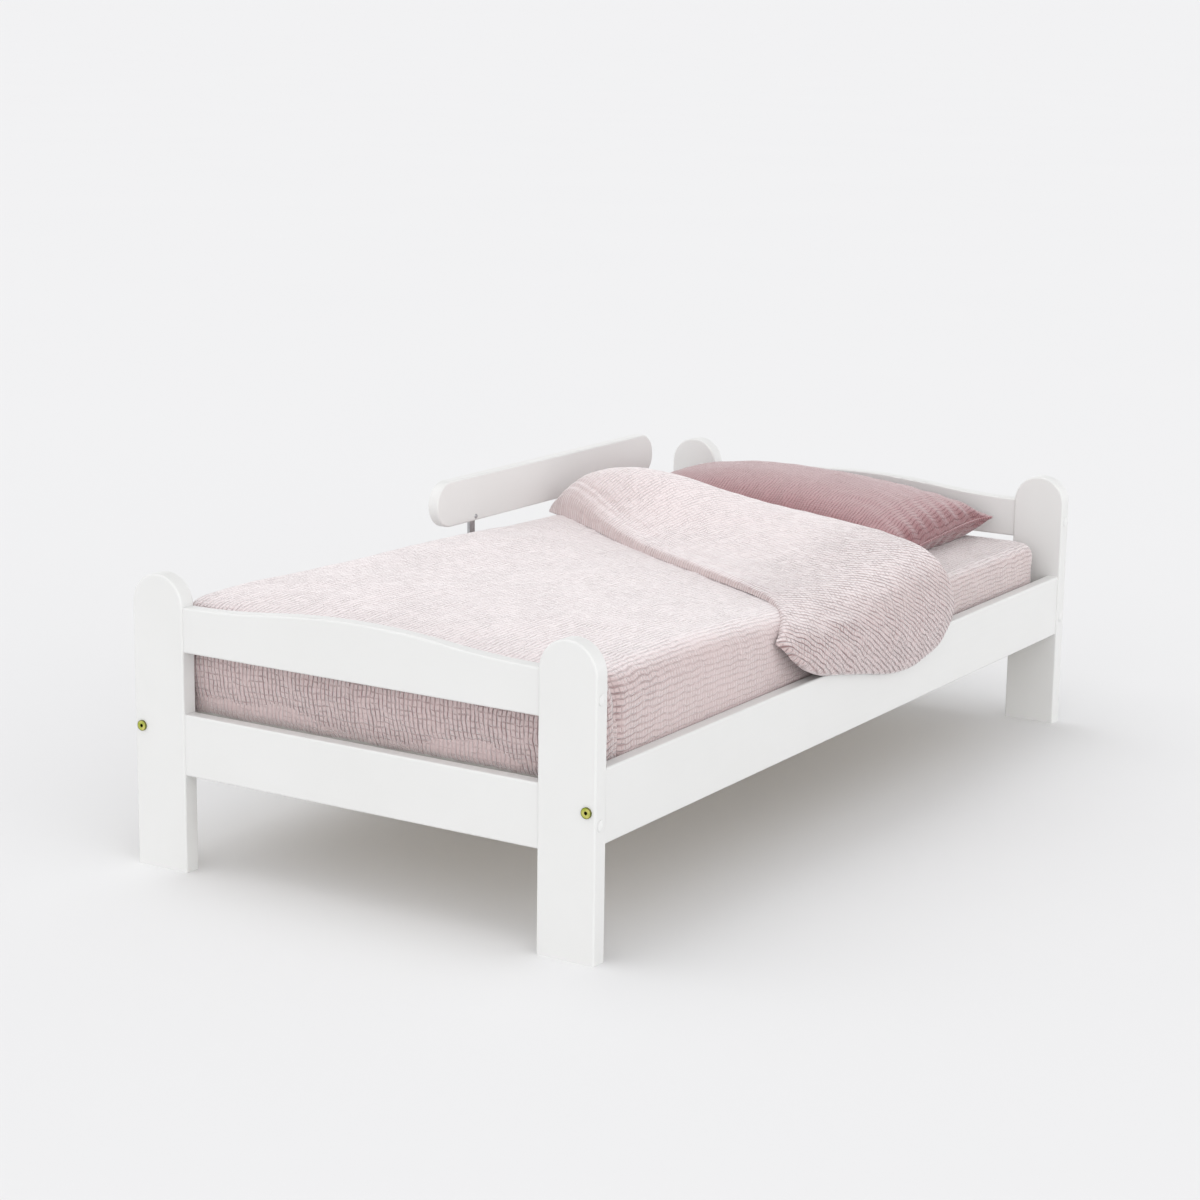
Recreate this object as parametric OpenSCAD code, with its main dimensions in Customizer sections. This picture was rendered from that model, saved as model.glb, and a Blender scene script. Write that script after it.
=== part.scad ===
// Toddler bed for a 70 x 140 cm mattress: two end frames joined by two side rails, a slatted base on
// ledgers, a guard board that lifts out of the left side rail, and the mattress and bedding on it.
// Millimetres. Origin on the floor at the middle of the bed, +Y to the head end, +X to the right side.

/* [Bed frame] */
// Width over the posts
bed_w = 760; // [740:1:800]
// Length over the posts
bed_l = 1480; // [1470:1:1520]
// Height of the posts to the top of their round ends
post_h = 421; // [400:1:450]
// Width of a post, across the bed
post_w = 88; // [80:1:96]
// Thickness of a post, along the bed
post_t = 26; // [24:1:32]
// Radius of the rounded edges of posts and rails
edge_r = 3; // [1:0.5:4]

/* [Side rails] */
// Height of a side rail
side_rail_h = 100; // [90:1:110]
// Thickness of a side rail
side_rail_t = 20; // [18:1:24]
// Underside of the side rails above the floor
side_rail_z = 155; // [145:1:160]
// Step from the outside of a post in to the side rail
side_rail_inset = 3; // [3:0.5:6]

/* [End rails] */
// Thickness of the end rails
end_rail_t = 21; // [18:1:22]
// Height of the lower end rails
lower_rail_h = 88; // [80:1:100]
// Underside of the lower end rails above the floor
lower_rail_z = 140; // [130:1:150]
// Height of the upper end rails where they meet the posts
upper_rail_h = 64; // [60:1:80]
// Underside of the upper end rails above the floor
upper_rail_z = 315; // [310:1:330]
// How far the crest of an upper end rail rises above its ends
arch_rise = 17; // [8:1:24]

/* [Slatted base] */
// Number of slats
slat_count = 12; // [10:1:14]
// Width of a slat
slat_w = 60; // [50:1:65]
// Thickness of a slat
slat_t = 12; // [10:1:14]
// Top of the slats above the floor
slat_top_z = 215; // [210:1:220]
// Width of the strip of wood that carries the slats
ledger_w = 22; // [18:1:26]
// Height of that strip
ledger_h = 30; // [25:1:32]

/* [Guard] */
// Length of the guard board
guard_l = 655; // [500:5:700]
// Height of the guard board
guard_h = 74; // [60:1:90]
// Thickness of the guard board
guard_t = 19; // [18:1:20]
// Foot end of the guard board, measured from the middle of the bed
guard_y = -50; // [-150:5:0]
// Clear height between the side rail and the guard board
guard_gap = 115; // [90:1:130]
// Width of the steel bars under the guard board
guard_bar_w = 14; // [10:1:20]
// Thickness of the steel bars
guard_bar_t = 5; // [3:0.5:6]
// Depth that the bars stand in the side rail
guard_bar_depth = 70; // [50:1:80]

/* [Bedding] */
// Width of the mattress
mattress_w = 694; // [690:1:700]
// Length of the mattress
mattress_l = 1394; // [1390:1:1400]
// Thickness of the mattress
mattress_t = 96; // [80:1:110]
// Thickness of the duvet where it lies flat
duvet_t = 52; // [30:1:60]
// Head end of the duvet, at its fold, from the middle of the bed
duvet_fold_y = 322; // [250:1:330]
// Length of the pillow, across the bed
pillow_l = 585; // [500:5:600]
// Depth of the pillow, along the bed
pillow_d = 346; // [320:1:350]
// Thickness of the pillow at its middle
pillow_t = 105; // [80:1:120]

/* [Hidden] */
$fn = 64;

half_w = bed_w / 2;
half_l = bed_l / 2;
post_x = half_w - post_w / 2;
post_y = half_l - post_t / 2;
post_in_x = half_w - post_w;
post_in_y = half_l - post_t;
rail_x = half_w - side_rail_inset - side_rail_t / 2;
rail_in_x = rail_x - side_rail_t / 2;
side_rail_top = side_rail_z + side_rail_h;

// Arch of the upper end rails: a crest and two equal, opposite curves that run out level at the posts
arch_half = post_in_x;
arch_r = (pow(arch_half / 2, 2) + pow(arch_rise / 2, 2)) / arch_rise;
arch_angle = asin(arch_half / 2 / arch_r);
arch_band = 52;
straight_band = 30;
arch_end_z = upper_rail_z + upper_rail_h;

// Zinc flange bolts through the posts into the side rails, with barrel nuts and dowels
bolt_r = 3;
bolt_z = 202;
side_bolt_l = 70;
bolt_head_r = 7.5;
bolt_head_h = 2.5;
socket_r = 2.3;
nut_r = 5;
nut_back = 35;
side_nut_l = 15;
dowel_r = 4;
dowel_l = 30;
side_dowel_z = [170, 238];

// Long bolts through the posts into the end rails, each under a cap
end_rail_z = [lower_rail_z, upper_rail_z];
end_bolt_z = [lower_rail_z + lower_rail_h / 2, upper_rail_z + upper_rail_h / 2];
end_bolt_l = 120;
end_head_r = 6;
end_head_h = 5;
pocket_r = 6.5;
pocket_depth = 9;
cap_r = 8;
cap_proud = 2;
cap_rim_h = 0.8;
end_nut_l = 16;
end_dowel_z = [end_bolt_z[0] - 28, end_bolt_z[0] + 28, end_bolt_z[1] - 19, end_bolt_z[1] + 19];

// Slatted base
ledger_l = 1320;
ledger_x = rail_in_x - ledger_w / 2;
ledger_z = slat_top_z - slat_t - ledger_h;
ledger_screw_pitch = 240;
screw_r = 2;
screw_head_r = 4;
screw_l = 34;
slat_l = 2 * rail_in_x - 6;
slat_reach = 640;
slat_pitch = 2 * slat_reach / (slat_count - 1);
tape_w = 20;
tape_t = 1;
tape_x = 220;
staple_r = 0.5;
staple_crown = 10;
staple_leg = 7;

// Guard board on its two bars
guard_z = side_rail_top + guard_gap;
guard_bar_in = 106;
guard_bar_y = [guard_y + guard_bar_in, guard_y + guard_l - guard_bar_in];
guard_bar_up = 34;
guard_bar_fit = 0.2;
guard_bolt_z = guard_z + 7;
guard_bolt_r = 2;
guard_head_r = 4;
guard_head_h = 2.2;
guard_nut_r = 4.5;
guard_nut_h = 1.8;

// Soft goods
sheet_t = 1.5;
soft_gap = 0.5;
corner_r = 45;
mattress_top = slat_top_z + mattress_t;
sheet_top = mattress_top + sheet_t;
sheet_hem_z = slat_top_z + 3;
duvet_under = sheet_top + soft_gap;
duvet_top = duvet_under + duvet_t;
duvet_half_w = rail_in_x - 2.5;
duvet_foot_y = post_in_y - 3;
duvet_hem_z = 224;
drape_in_x = half_w - side_rail_inset + soft_gap;
drape_out_x = half_w + cap_proud;
drape_foot_y = -240;
drape_head_y = 285;
drape_hem_z = 200;
over_rail_z = side_rail_top + 6;
// Balls that the duvet's turned-back top is stretched over: [x, y, z, radius]
fold_balls = [
    [-315, 285, 400, 34],
    [-150, 288, 404, 33],
    [90, 290, 374, 30],
    [330, 285, 340, 22],
    [-325, 240, duvet_top - 5, 14],
    [330, -220, duvet_top - 12, 14]];
// Section of the hanging corner over the rail, [x, z], and its outline seen from the right, [y, z]
drape_section = [
    [340, duvet_under],
    [340, duvet_top],
    [366, duvet_top - 14],
    [drape_out_x, 290],
    [drape_out_x, drape_hem_z],
    [drape_in_x, drape_hem_z],
    [drape_in_x, over_rail_z],
    [duvet_half_w, over_rail_z],
    [duvet_half_w, duvet_under]];
drape_outline = [
    [drape_foot_y, 320],
    [-205, 270],
    [-60, 230],
    [100, 222],
    [215, 246],
    [drape_head_y, 300],
    [drape_head_y, 400],
    [drape_foot_y, 400]];
pillow_x = -37;
pillow_gap = 28;
pillow_edge_r = 10;
pillow_waist = 18;
pillow_foot_r = 90;
pillow_crown_r = 45;

SIDES = [-1, 1];
SLATS = [for (i = [1 : slat_count]) str("slat_", i)];

white_paint = [0.93, 0.93, 0.92];
pine = [0.86, 0.72, 0.52];
yellow_zinc = [0.74, 0.72, 0.30];
steel = [0.62, 0.62, 0.63];
beech = [0.80, 0.62, 0.42];
ticking = [0.94, 0.93, 0.90];
pale_pink = [0.86, 0.78, 0.78];
mauve = [0.62, 0.42, 0.45];

// Shared shapes

// Rectangle with round corners, centred
module round_rect(w, h, r) {
    square([w - 2 * r, h], center = true);
    square([w, h - 2 * r], center = true);
    for (sx = SIDES, sy = SIDES) translate([sx * (w / 2 - r), sy * (h / 2 - r)]) circle(r);
}

// Bar with rounded long edges, centred, w across and h high, lying along Y
module bar_along_y(w, h, l) {
    rotate([90, 0, 0]) linear_extrude(l, center = true) round_rect(w, h, edge_r);
}

// The same bar lying along X
module bar_along_x(w, h, l) {
    rotate([90, 0, 90]) linear_extrude(l, center = true) round_rect(w, h, edge_r);
}

// Disc with a rounded rim, centred, its axis along Z: the round end of a board
module round_end(d, t) {
    rotate_extrude() intersection() {
        round_rect(d, t, edge_r);
        translate([0, -t / 2]) square([d / 2, t]);
    }
}

module rod_along_x(r, l) {
    rotate([0, 90, 0]) cylinder(r = r, h = l);
}

module rod_along_y(r, l) {
    rotate([-90, 0, 0]) cylinder(r = r, h = l);
}

// Socket for a hex key, cut from z = 0 down
module hex_socket(r, depth) {
    translate([0, 0, -depth]) cylinder(r = r, h = depth + 1, $fn = 6);
}

// Countersunk wood screw, its head flush at z = 0 and its shank below
module wood_screw() {
    head_h = screw_head_r - screw_r;
    translate([0, 0, -screw_l]) cylinder(r = screw_r, h = screw_l);
    translate([0, 0, -head_h]) cylinder(r1 = screw_r, r2 = screw_head_r, h = head_h);
}

// Turns what is drawn at the right head corner to the corner on side sx and end sy
module to_corner(sx, sy) {
    mirror([sx < 0 ? 1 : 0, 0, 0]) mirror([0, sy < 0 ? 1 : 0, 0]) children();
}

module at_corners() {
    for (sx = SIDES, sy = SIDES) to_corner(sx, sy) children();
}

// Hardware at the right head corner; a part that it passes through subtracts the same shape

module side_bolt_shank() {
    translate([rail_x, half_l - side_bolt_l, bolt_z]) rod_along_y(bolt_r, side_bolt_l);
}

module side_bolt() {
    side_bolt_shank();
    translate([rail_x, half_l, bolt_z]) rotate([-90, 0, 0]) difference() {
        cylinder(r = bolt_head_r, h = bolt_head_h);
        translate([0, 0, bolt_head_h]) hex_socket(socket_r, bolt_head_h - 0.5);
    }
}

module side_nut_pocket() {
    translate([rail_in_x, post_in_y - nut_back, bolt_z]) rod_along_x(nut_r, side_nut_l);
}

module side_dowels() {
    for (z = side_dowel_z) translate([rail_x, post_in_y - dowel_l / 2, z]) rod_along_y(dowel_r, dowel_l);
}

module end_bolt_shanks() {
    for (z = end_bolt_z) translate([half_w - pocket_depth - end_bolt_l, post_y, z])
        rod_along_x(bolt_r, end_bolt_l);
}

module end_bolts() {
    end_bolt_shanks();
    for (z = end_bolt_z) translate([half_w - pocket_depth, post_y, z]) rotate([0, 90, 0]) difference() {
        cylinder(r = end_head_r, h = end_head_h);
        translate([0, 0, end_head_h]) hex_socket(socket_r, end_head_h - 1);
    }
}

module end_bolt_pockets() {
    for (z = end_bolt_z) translate([half_w - pocket_depth, post_y, z])
        rod_along_x(pocket_r, pocket_depth + 1);
}

// Push-in cap: a plug that fills the pocket above the bolt head, under a low dome
module caps() {
    plug_h = pocket_depth - end_head_h - 0.5;
    dome_h = cap_proud - cap_rim_h;
    dome_r = (cap_r * cap_r + dome_h * dome_h) / (2 * dome_h);
    for (z = end_bolt_z) translate([half_w, post_y, z]) rotate([0, 90, 0]) {
        translate([0, 0, -plug_h]) cylinder(r = pocket_r, h = plug_h);
        cylinder(r = cap_r, h = cap_rim_h);
        intersection() {
            translate([0, 0, cap_proud - dome_r]) sphere(dome_r, $fn = 180);
            translate([0, 0, cap_rim_h]) cylinder(r = cap_r, h = dome_h);
        }
    }
}

module end_nuts() {
    for (z = end_bolt_z) translate([post_in_x - nut_back, post_y, z - end_nut_l / 2])
        cylinder(r = nut_r, h = end_nut_l);
}

// Holes bored up from the undersides of the end rails, each with its nut at the top
module end_nut_holes() {
    for (i = [0, 1]) translate([post_in_x - nut_back, post_y, end_rail_z[i] - 1])
        cylinder(r = nut_r, h = end_bolt_z[i] + end_nut_l / 2 - end_rail_z[i] + 1);
}

module end_dowels() {
    for (z = end_dowel_z) translate([post_in_x - dowel_l / 2, post_y, z]) rod_along_x(dowel_r, dowel_l);
}

module ledger_screws_on(side) {
    for (i = [-2.5 : 2.5])
        translate([side * (rail_in_x - ledger_w), i * ledger_screw_pitch, ledger_z + ledger_h / 2])
            rotate([0, side * -90, 0]) wood_screw();
}

module slat_screw_set() {
    for (sx = SIDES, sy = SIDES) translate([sx * ledger_x, sy * slat_reach, slat_top_z]) wood_screw();
}

function slat_y(i) = -slat_reach + (i - 1) * slat_pitch;

// Staple with its crown under the tape and its legs up into slat number i
module staple(i, side) {
    crown_z = slat_top_z - slat_t - tape_t - staple_r;
    translate([side * tape_x, slat_y(i) - staple_crown / 2, crown_z]) {
        rod_along_y(staple_r, staple_crown);
        for (y = [0, staple_crown]) translate([0, y, 0]) {
            sphere(staple_r, $fn = 24);
            cylinder(r = staple_r, h = staple_leg);
        }
    }
}

// Wooden parts

module post(sx, sy) {
    round_z = post_h - post_w / 2;
    color(white_paint) to_corner(sx, sy) difference() {
        union() {
            translate([post_x, post_y, 0]) linear_extrude(round_z) round_rect(post_w, post_t, edge_r);
            translate([post_x, post_y, round_z]) rotate([90, 0, 0]) round_end(post_w, post_t);
        }
        side_bolt_shank();
        side_dowels();
        end_bolt_shanks();
        end_bolt_pockets();
        end_dowels();
    }
}

module side_rail(side) {
    color(white_paint) difference() {
        translate([side * rail_x, 0, side_rail_z + side_rail_h / 2])
            bar_along_y(side_rail_t, side_rail_h, 2 * post_in_y);
        for (end = SIDES) to_corner(side, end) {
            side_bolt_shank();
            side_nut_pocket();
            side_dowels();
        }
        ledger_screws_on(side);
        if (side < 0) guard_slots();
    }
}

// Mortises in the top of the left side rail where the guard's bars stand
module guard_slots() {
    slot_depth = guard_bar_depth + 1;
    slot_t = guard_bar_t + 2 * guard_bar_fit;
    slot_w = guard_bar_w + 2 * guard_bar_fit;
    for (y = guard_bar_y) translate([-rail_x, y, side_rail_top - slot_depth / 2 + 0.5])
        cube([slot_t, slot_w, slot_depth + 1], center = true);
}

module end_rail_holes() {
    for (side = SIDES) to_corner(side, 1) {
        end_bolt_shanks();
        end_nut_holes();
        end_dowels();
    }
}

module lower_end_rail(end) {
    color(white_paint) to_corner(1, end) difference() {
        translate([0, post_y, lower_rail_z + lower_rail_h / 2])
            bar_along_x(end_rail_t, lower_rail_h, 2 * post_in_x);
        end_rail_holes();
    }
}

// Section through an edge of an upper end rail: the edge at x = 0, the wood to depth on its -X side
module edge_section(depth) {
    translate([-depth, -end_rail_t / 2]) square([depth - edge_r, end_rail_t]);
    translate([-depth, edge_r - end_rail_t / 2]) square([depth, end_rail_t - 2 * edge_r]);
    for (s = SIDES) translate([-edge_r, s * (end_rail_t / 2 - edge_r)]) circle(edge_r, $fn = 64);
}

// Sweeps a section through an angle, upwards from the angle start, about a centre in the XZ plane
module sweep(start, angle) {
    rotate([0, -start, 0]) rotate([90, 0, 0]) rotate_extrude(angle = angle, $fn = 720) children();
}

module upper_end_rail(end) {
    color(white_paint) to_corner(1, end) difference() {
        union() {
            translate([0, post_y, upper_rail_z]) rotate([90, 0, 90])
                linear_extrude(2 * post_in_x, center = true) rotate(-90) edge_section(straight_band);
            translate([0, post_y, arch_end_z + arch_rise - arch_r])
                sweep(90 - arch_angle, 2 * arch_angle) translate([arch_r, 0]) edge_section(arch_band);
            for (side = SIDES) to_corner(side, 1)
                translate([arch_half, post_y, arch_end_z + arch_r]) sweep(270 - arch_angle, arch_angle)
                    translate([arch_r, 0]) mirror([1, 0]) edge_section(arch_band);
        }
        end_rail_holes();
    }
}

// Slatted base

module ledger(side) {
    color(pine) difference() {
        translate([side * ledger_x - ledger_w / 2, -ledger_l / 2, ledger_z])
            cube([ledger_w, ledger_l, ledger_h]);
        ledger_screws_on(side);
        slat_screw_set();
    }
}

module slat(i) {
    color(pine) difference() {
        translate([0, slat_y(i), slat_top_z - slat_t / 2]) bar_along_x(slat_w, slat_t, slat_l);
        if (i == 1 || i == slat_count) slat_screw_set();
        for (side = SIDES) staple(i, side);
    }
}

module slat_tape(side) {
    color("white") difference() {
        translate([side * tape_x, 0, slat_top_z - slat_t - tape_t / 2])
            cube([tape_w, 2 * slat_reach + slat_w, tape_t], center = true);
        for (i = [1 : slat_count]) staple(i, side);
    }
}

// Fittings

module tape_staples() {
    color(steel) for (i = [1 : slat_count], side = SIDES) staple(i, side);
}

module side_rail_bolts() {
    color(yellow_zinc) at_corners() side_bolt();
}

module side_rail_nuts() {
    color(steel) at_corners() difference() {
        side_nut_pocket();
        side_bolt_shank();
    }
}

module side_rail_dowels() {
    color(beech) at_corners() side_dowels();
}

module end_rail_bolts() {
    color(steel) at_corners() end_bolts();
}

module end_rail_nuts() {
    color(steel) at_corners() difference() {
        end_nuts();
        end_bolt_shanks();
    }
}

module end_rail_dowels() {
    color(beech) at_corners() end_dowels();
}

module bolt_caps() {
    color("white") at_corners() caps();
}

module ledger_screws() {
    color(steel) for (side = SIDES) ledger_screws_on(side);
}

module slat_screws() {
    color(steel) slat_screw_set();
}

// Guard

module guard_bolt_shanks() {
    for (y = guard_bar_y) translate([-rail_x - guard_t / 2 - guard_nut_h / 2, y, guard_bolt_z])
        rod_along_x(guard_bolt_r, guard_t + guard_nut_h / 2);
}

module guard_bar_at(y) {
    bar_h = guard_bar_depth + guard_gap + guard_bar_up;
    translate([-rail_x, y, side_rail_top - guard_bar_depth + bar_h / 2])
        cube([guard_bar_t, guard_bar_w, bar_h], center = true);
}

module guard_board() {
    color(white_paint) difference() {
        union() {
            translate([-rail_x, guard_y + guard_l / 2, guard_z + guard_h / 2])
                bar_along_y(guard_t, guard_h, guard_l - guard_h);
            for (y = [guard_y + guard_h / 2, guard_y + guard_l - guard_h / 2])
                translate([-rail_x, y, guard_z + guard_h / 2])
                    rotate([0, 90, 0]) round_end(guard_h, guard_t);
        }
        for (y = guard_bar_y) guard_bar_at(y);
        guard_bolt_shanks();
    }
}

module guard_bar(y) {
    color(steel) difference() {
        guard_bar_at(y);
        guard_bolt_shanks();
    }
}

module guard_bolts() {
    dome_r = (guard_head_r * guard_head_r + guard_head_h * guard_head_h) / (2 * guard_head_h);
    color(steel) {
        guard_bolt_shanks();
        for (y = guard_bar_y) translate([-rail_x + guard_t / 2, y, guard_bolt_z]) rotate([0, 90, 0])
            intersection() {
                translate([0, 0, guard_head_h - dome_r]) sphere(dome_r);
                cylinder(r = guard_head_r + 1, h = guard_head_h);
            }
    }
}

module guard_nuts() {
    color(steel) difference() {
        for (y = guard_bar_y) translate([-rail_x - guard_t / 2 - guard_nut_h, y, guard_bolt_z])
            rod_along_x(guard_nut_r, guard_nut_h);
        guard_bolt_shanks();
    }
}

// Soft goods, plain solids of the right size and place

// Slab with round corners seen from above, centred on the bed, from z0 up to z1
module slab(w, l, r, z0, z1) {
    translate([0, 0, z0]) linear_extrude(z1 - z0) round_rect(w, l, r);
}

module mattress_slab(grow, z0, z1) {
    slab(mattress_w + 2 * grow, mattress_l + 2 * grow, corner_r + grow, z0, z1);
}

module mattress() {
    color(ticking) mattress_slab(0, slat_top_z, mattress_top);
}

module fitted_sheet() {
    color(pale_pink) difference() {
        mattress_slab(sheet_t, sheet_hem_z, sheet_top);
        mattress_slab(0, sheet_hem_z - 1, mattress_top);
    }
}

// Turned-back top of the duvet: high and full at the left, flatter to the right
module duvet_fold() {
    hull() for (ball = fold_balls) translate([ball[0], ball[1], ball[2]]) sphere(ball[3]);
}

// Corner of the turned-back top, which hangs down outside the right side rail
module duvet_drape() {
    intersection() {
        rotate([90, 0, 0]) translate([0, 0, -drape_head_y])
            linear_extrude(drape_head_y - drape_foot_y) polygon(drape_section);
        rotate([90, 0, 90]) linear_extrude(half_w + 20) polygon(drape_outline);
    }
}

module duvet() {
    color(pale_pink) {
        intersection() {
            difference() {
                slab(2 * duvet_half_w, 2 * duvet_foot_y, corner_r + 10, duvet_hem_z, duvet_top);
                mattress_slab(sheet_t + soft_gap, duvet_hem_z - 1, duvet_under);
            }
            translate([-half_w, -half_l, 0]) cube([bed_w, half_l + duvet_fold_y, post_h]);
        }
        duvet_fold();
        duvet_drape();
    }
}

module pillow() {
    under_z = sheet_top + soft_gap;
    waist_z = under_z + pillow_waist;
    centre_y = duvet_fold_y + pillow_gap + pillow_d / 2;
    reach = [pillow_l / 2 - pillow_edge_r, pillow_d / 2 - pillow_edge_r];
    color(mauve) translate([pillow_x, centre_y, 0]) hull() {
        for (sx = SIDES, sy = SIDES) translate([sx * reach[0], sy * reach[1], waist_z])
            sphere(pillow_edge_r, $fn = 24);
        for (sx = SIDES) translate([sx * pillow_l / 5, 0, under_z])
            cylinder(r1 = pillow_foot_r, r2 = pillow_crown_r, h = pillow_t, $fn = 48);
    }
}

post(-1, -1);  // post_foot_left
post(1, -1);  // post_foot_right
post(-1, 1);  // post_head_left
post(1, 1);  // post_head_right
lower_end_rail(-1);  // foot_rail_lower
upper_end_rail(-1);  // foot_rail_upper
lower_end_rail(1);  // head_rail_lower
upper_end_rail(1);  // head_rail_upper
side_rail(-1);  // side_rail_left
side_rail(1);  // side_rail_right
ledger(-1);  // ledger_left
ledger(1);  // ledger_right
for (i = [1 : slat_count]) slat(i);
slat_tape(-1);  // slat_tape_left
slat_tape(1);  // slat_tape_right
tape_staples();
side_rail_bolts();
side_rail_nuts();
side_rail_dowels();
end_rail_bolts();
end_rail_nuts();
end_rail_dowels();
bolt_caps();
ledger_screws();
slat_screws();
guard_board();
guard_bar(guard_bar_y[0]);  // guard_bar_foot
guard_bar(guard_bar_y[1]);  // guard_bar_head
guard_bolts();
guard_nuts();
mattress();
fitted_sheet();
duvet();
pillow();
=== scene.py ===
import math

import bpy
import numpy as np
from mathutils import Matrix, Vector, noise


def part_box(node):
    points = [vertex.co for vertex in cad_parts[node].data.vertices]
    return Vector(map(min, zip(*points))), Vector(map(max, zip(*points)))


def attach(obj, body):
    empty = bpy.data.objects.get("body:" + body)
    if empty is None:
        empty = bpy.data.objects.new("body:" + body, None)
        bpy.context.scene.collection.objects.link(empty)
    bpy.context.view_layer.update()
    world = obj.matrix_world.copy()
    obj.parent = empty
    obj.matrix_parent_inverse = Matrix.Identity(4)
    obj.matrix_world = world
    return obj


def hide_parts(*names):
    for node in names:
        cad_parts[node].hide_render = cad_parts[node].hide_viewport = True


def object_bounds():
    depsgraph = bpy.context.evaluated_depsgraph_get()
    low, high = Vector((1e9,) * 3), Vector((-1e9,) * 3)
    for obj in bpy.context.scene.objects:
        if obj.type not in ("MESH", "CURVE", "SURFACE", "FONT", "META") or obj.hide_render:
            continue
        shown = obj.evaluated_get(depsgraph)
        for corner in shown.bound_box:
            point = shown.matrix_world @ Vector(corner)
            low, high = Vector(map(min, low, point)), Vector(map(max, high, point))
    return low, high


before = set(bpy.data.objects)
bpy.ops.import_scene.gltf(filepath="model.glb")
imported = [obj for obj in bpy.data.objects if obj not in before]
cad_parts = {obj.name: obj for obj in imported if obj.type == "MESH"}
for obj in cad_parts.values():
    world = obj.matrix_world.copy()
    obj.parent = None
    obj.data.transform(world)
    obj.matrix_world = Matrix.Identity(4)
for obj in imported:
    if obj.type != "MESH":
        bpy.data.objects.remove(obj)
cadLow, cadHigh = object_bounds()
print("frame loaded:", len(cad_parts), "parts")

scene = bpy.context.scene

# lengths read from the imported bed, in metres
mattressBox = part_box("mattress")
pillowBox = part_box("pillow")
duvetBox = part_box("duvet")
mattressTopZ = mattressBox[1].z
mattressHalfW = mattressBox[1].x
mattressHalfL = mattressBox[1].y


# small helpers

def smooth(t):
    t = np.clip(t, 0, 1)
    return t * t * (3 - 2 * t)


def roundOff(distance, radius):
    # 0 at an edge, 1 from radius inwards, with a round shoulder between
    t = np.clip(distance / radius, 0, 1)
    return np.sqrt(np.clip(1 - (1 - t) ** 2, 0, 1))


def follow(points, at, softness=0.04):
    # value of a smoothed line through (place, value) pairs
    xs, ys = np.array(points, float).T
    fine = np.linspace(xs[0], xs[-1], 600)
    line = np.interp(fine, xs, ys)
    half = max(1, int(softness * 600))
    window = np.hanning(2 * half + 3)[1:-1]
    padded = np.pad(line, half, mode="reflect", reflect_type="odd")
    line = np.convolve(padded, window / window.sum(), "valid")
    return np.interp(at, fine, line)


def noiseAt(places, size, shift=0.0):
    # soft noise in -1..1, one value for each row of places, features about size metres across
    found = [noise.noise(Vector((p[0] / size + shift, p[1] / size - shift, p[2] / size + 2 * shift)))
             for p in places]
    return np.array(found)


def evenSteps(length, step):
    return np.linspace(0, 1, max(2, int(round(length / step))) + 1)


def edgeSteps(length, step, band):
    # spacing that closes up within band of both ends, for rounded edges
    share = band / length
    near = share * np.array([0, 0.03, 0.1, 0.22, 0.38, 0.58, 0.8])
    middle = np.linspace(share, 1 - share, max(2, int(round((length - 2 * band) / step))) + 1)
    return np.concatenate([near, middle, 1 - near[::-1]])


# materials

def newMaterial(name):
    material = bpy.data.materials.new(name)
    material.use_nodes = True
    tree = material.node_tree
    return material, tree, tree.nodes["Principled BSDF"]


def add(tree, kind, inputs=None, **settings):
    # a shader node with its settings and inputs; an input is a number, a colour or another node's output
    node = tree.nodes.new("ShaderNode" + kind)
    for key, value in settings.items():
        setattr(node, key, value)
    for key, value in (inputs or {}).items():
        if isinstance(value, bpy.types.NodeSocket):
            tree.links.new(value, node.inputs[key])
        else:
            node.inputs[key].default_value = value
    return node


def maths(tree, operation, a, b=0.0, c=0.0):
    return add(tree, "Math", {0: a, 1: b, 2: c}, operation=operation).outputs[0]


def ramp(tree, value, stops):
    node = add(tree, "ValToRGB", {"Fac": value})
    elements = node.color_ramp.elements
    while len(elements) < len(stops):
        elements.new(0.5)
    for element, (place, colour) in zip(elements, stops):
        element.position = place
        element.color = (*colour, 1)
    return node.outputs["Color"]


def plug(tree, shader, **inputs):
    sockets = {"colour": "Base Color", "roughness": "Roughness", "normal": "Normal"}
    for key, value in inputs.items():
        name = sockets[key]
        if isinstance(value, bpy.types.NodeSocket):
            tree.links.new(value, shader.inputs[name])
        else:
            shader.inputs[name].default_value = value


whitePaint = {
    "colour": (0.715, 0.715, 0.705),
    "shade": (0.700, 0.700, 0.688),
    "roughness": (0.34, 0.46),
    "grainDepth": 0.00006,
    "brushDepth": 0.00004,
}


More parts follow.
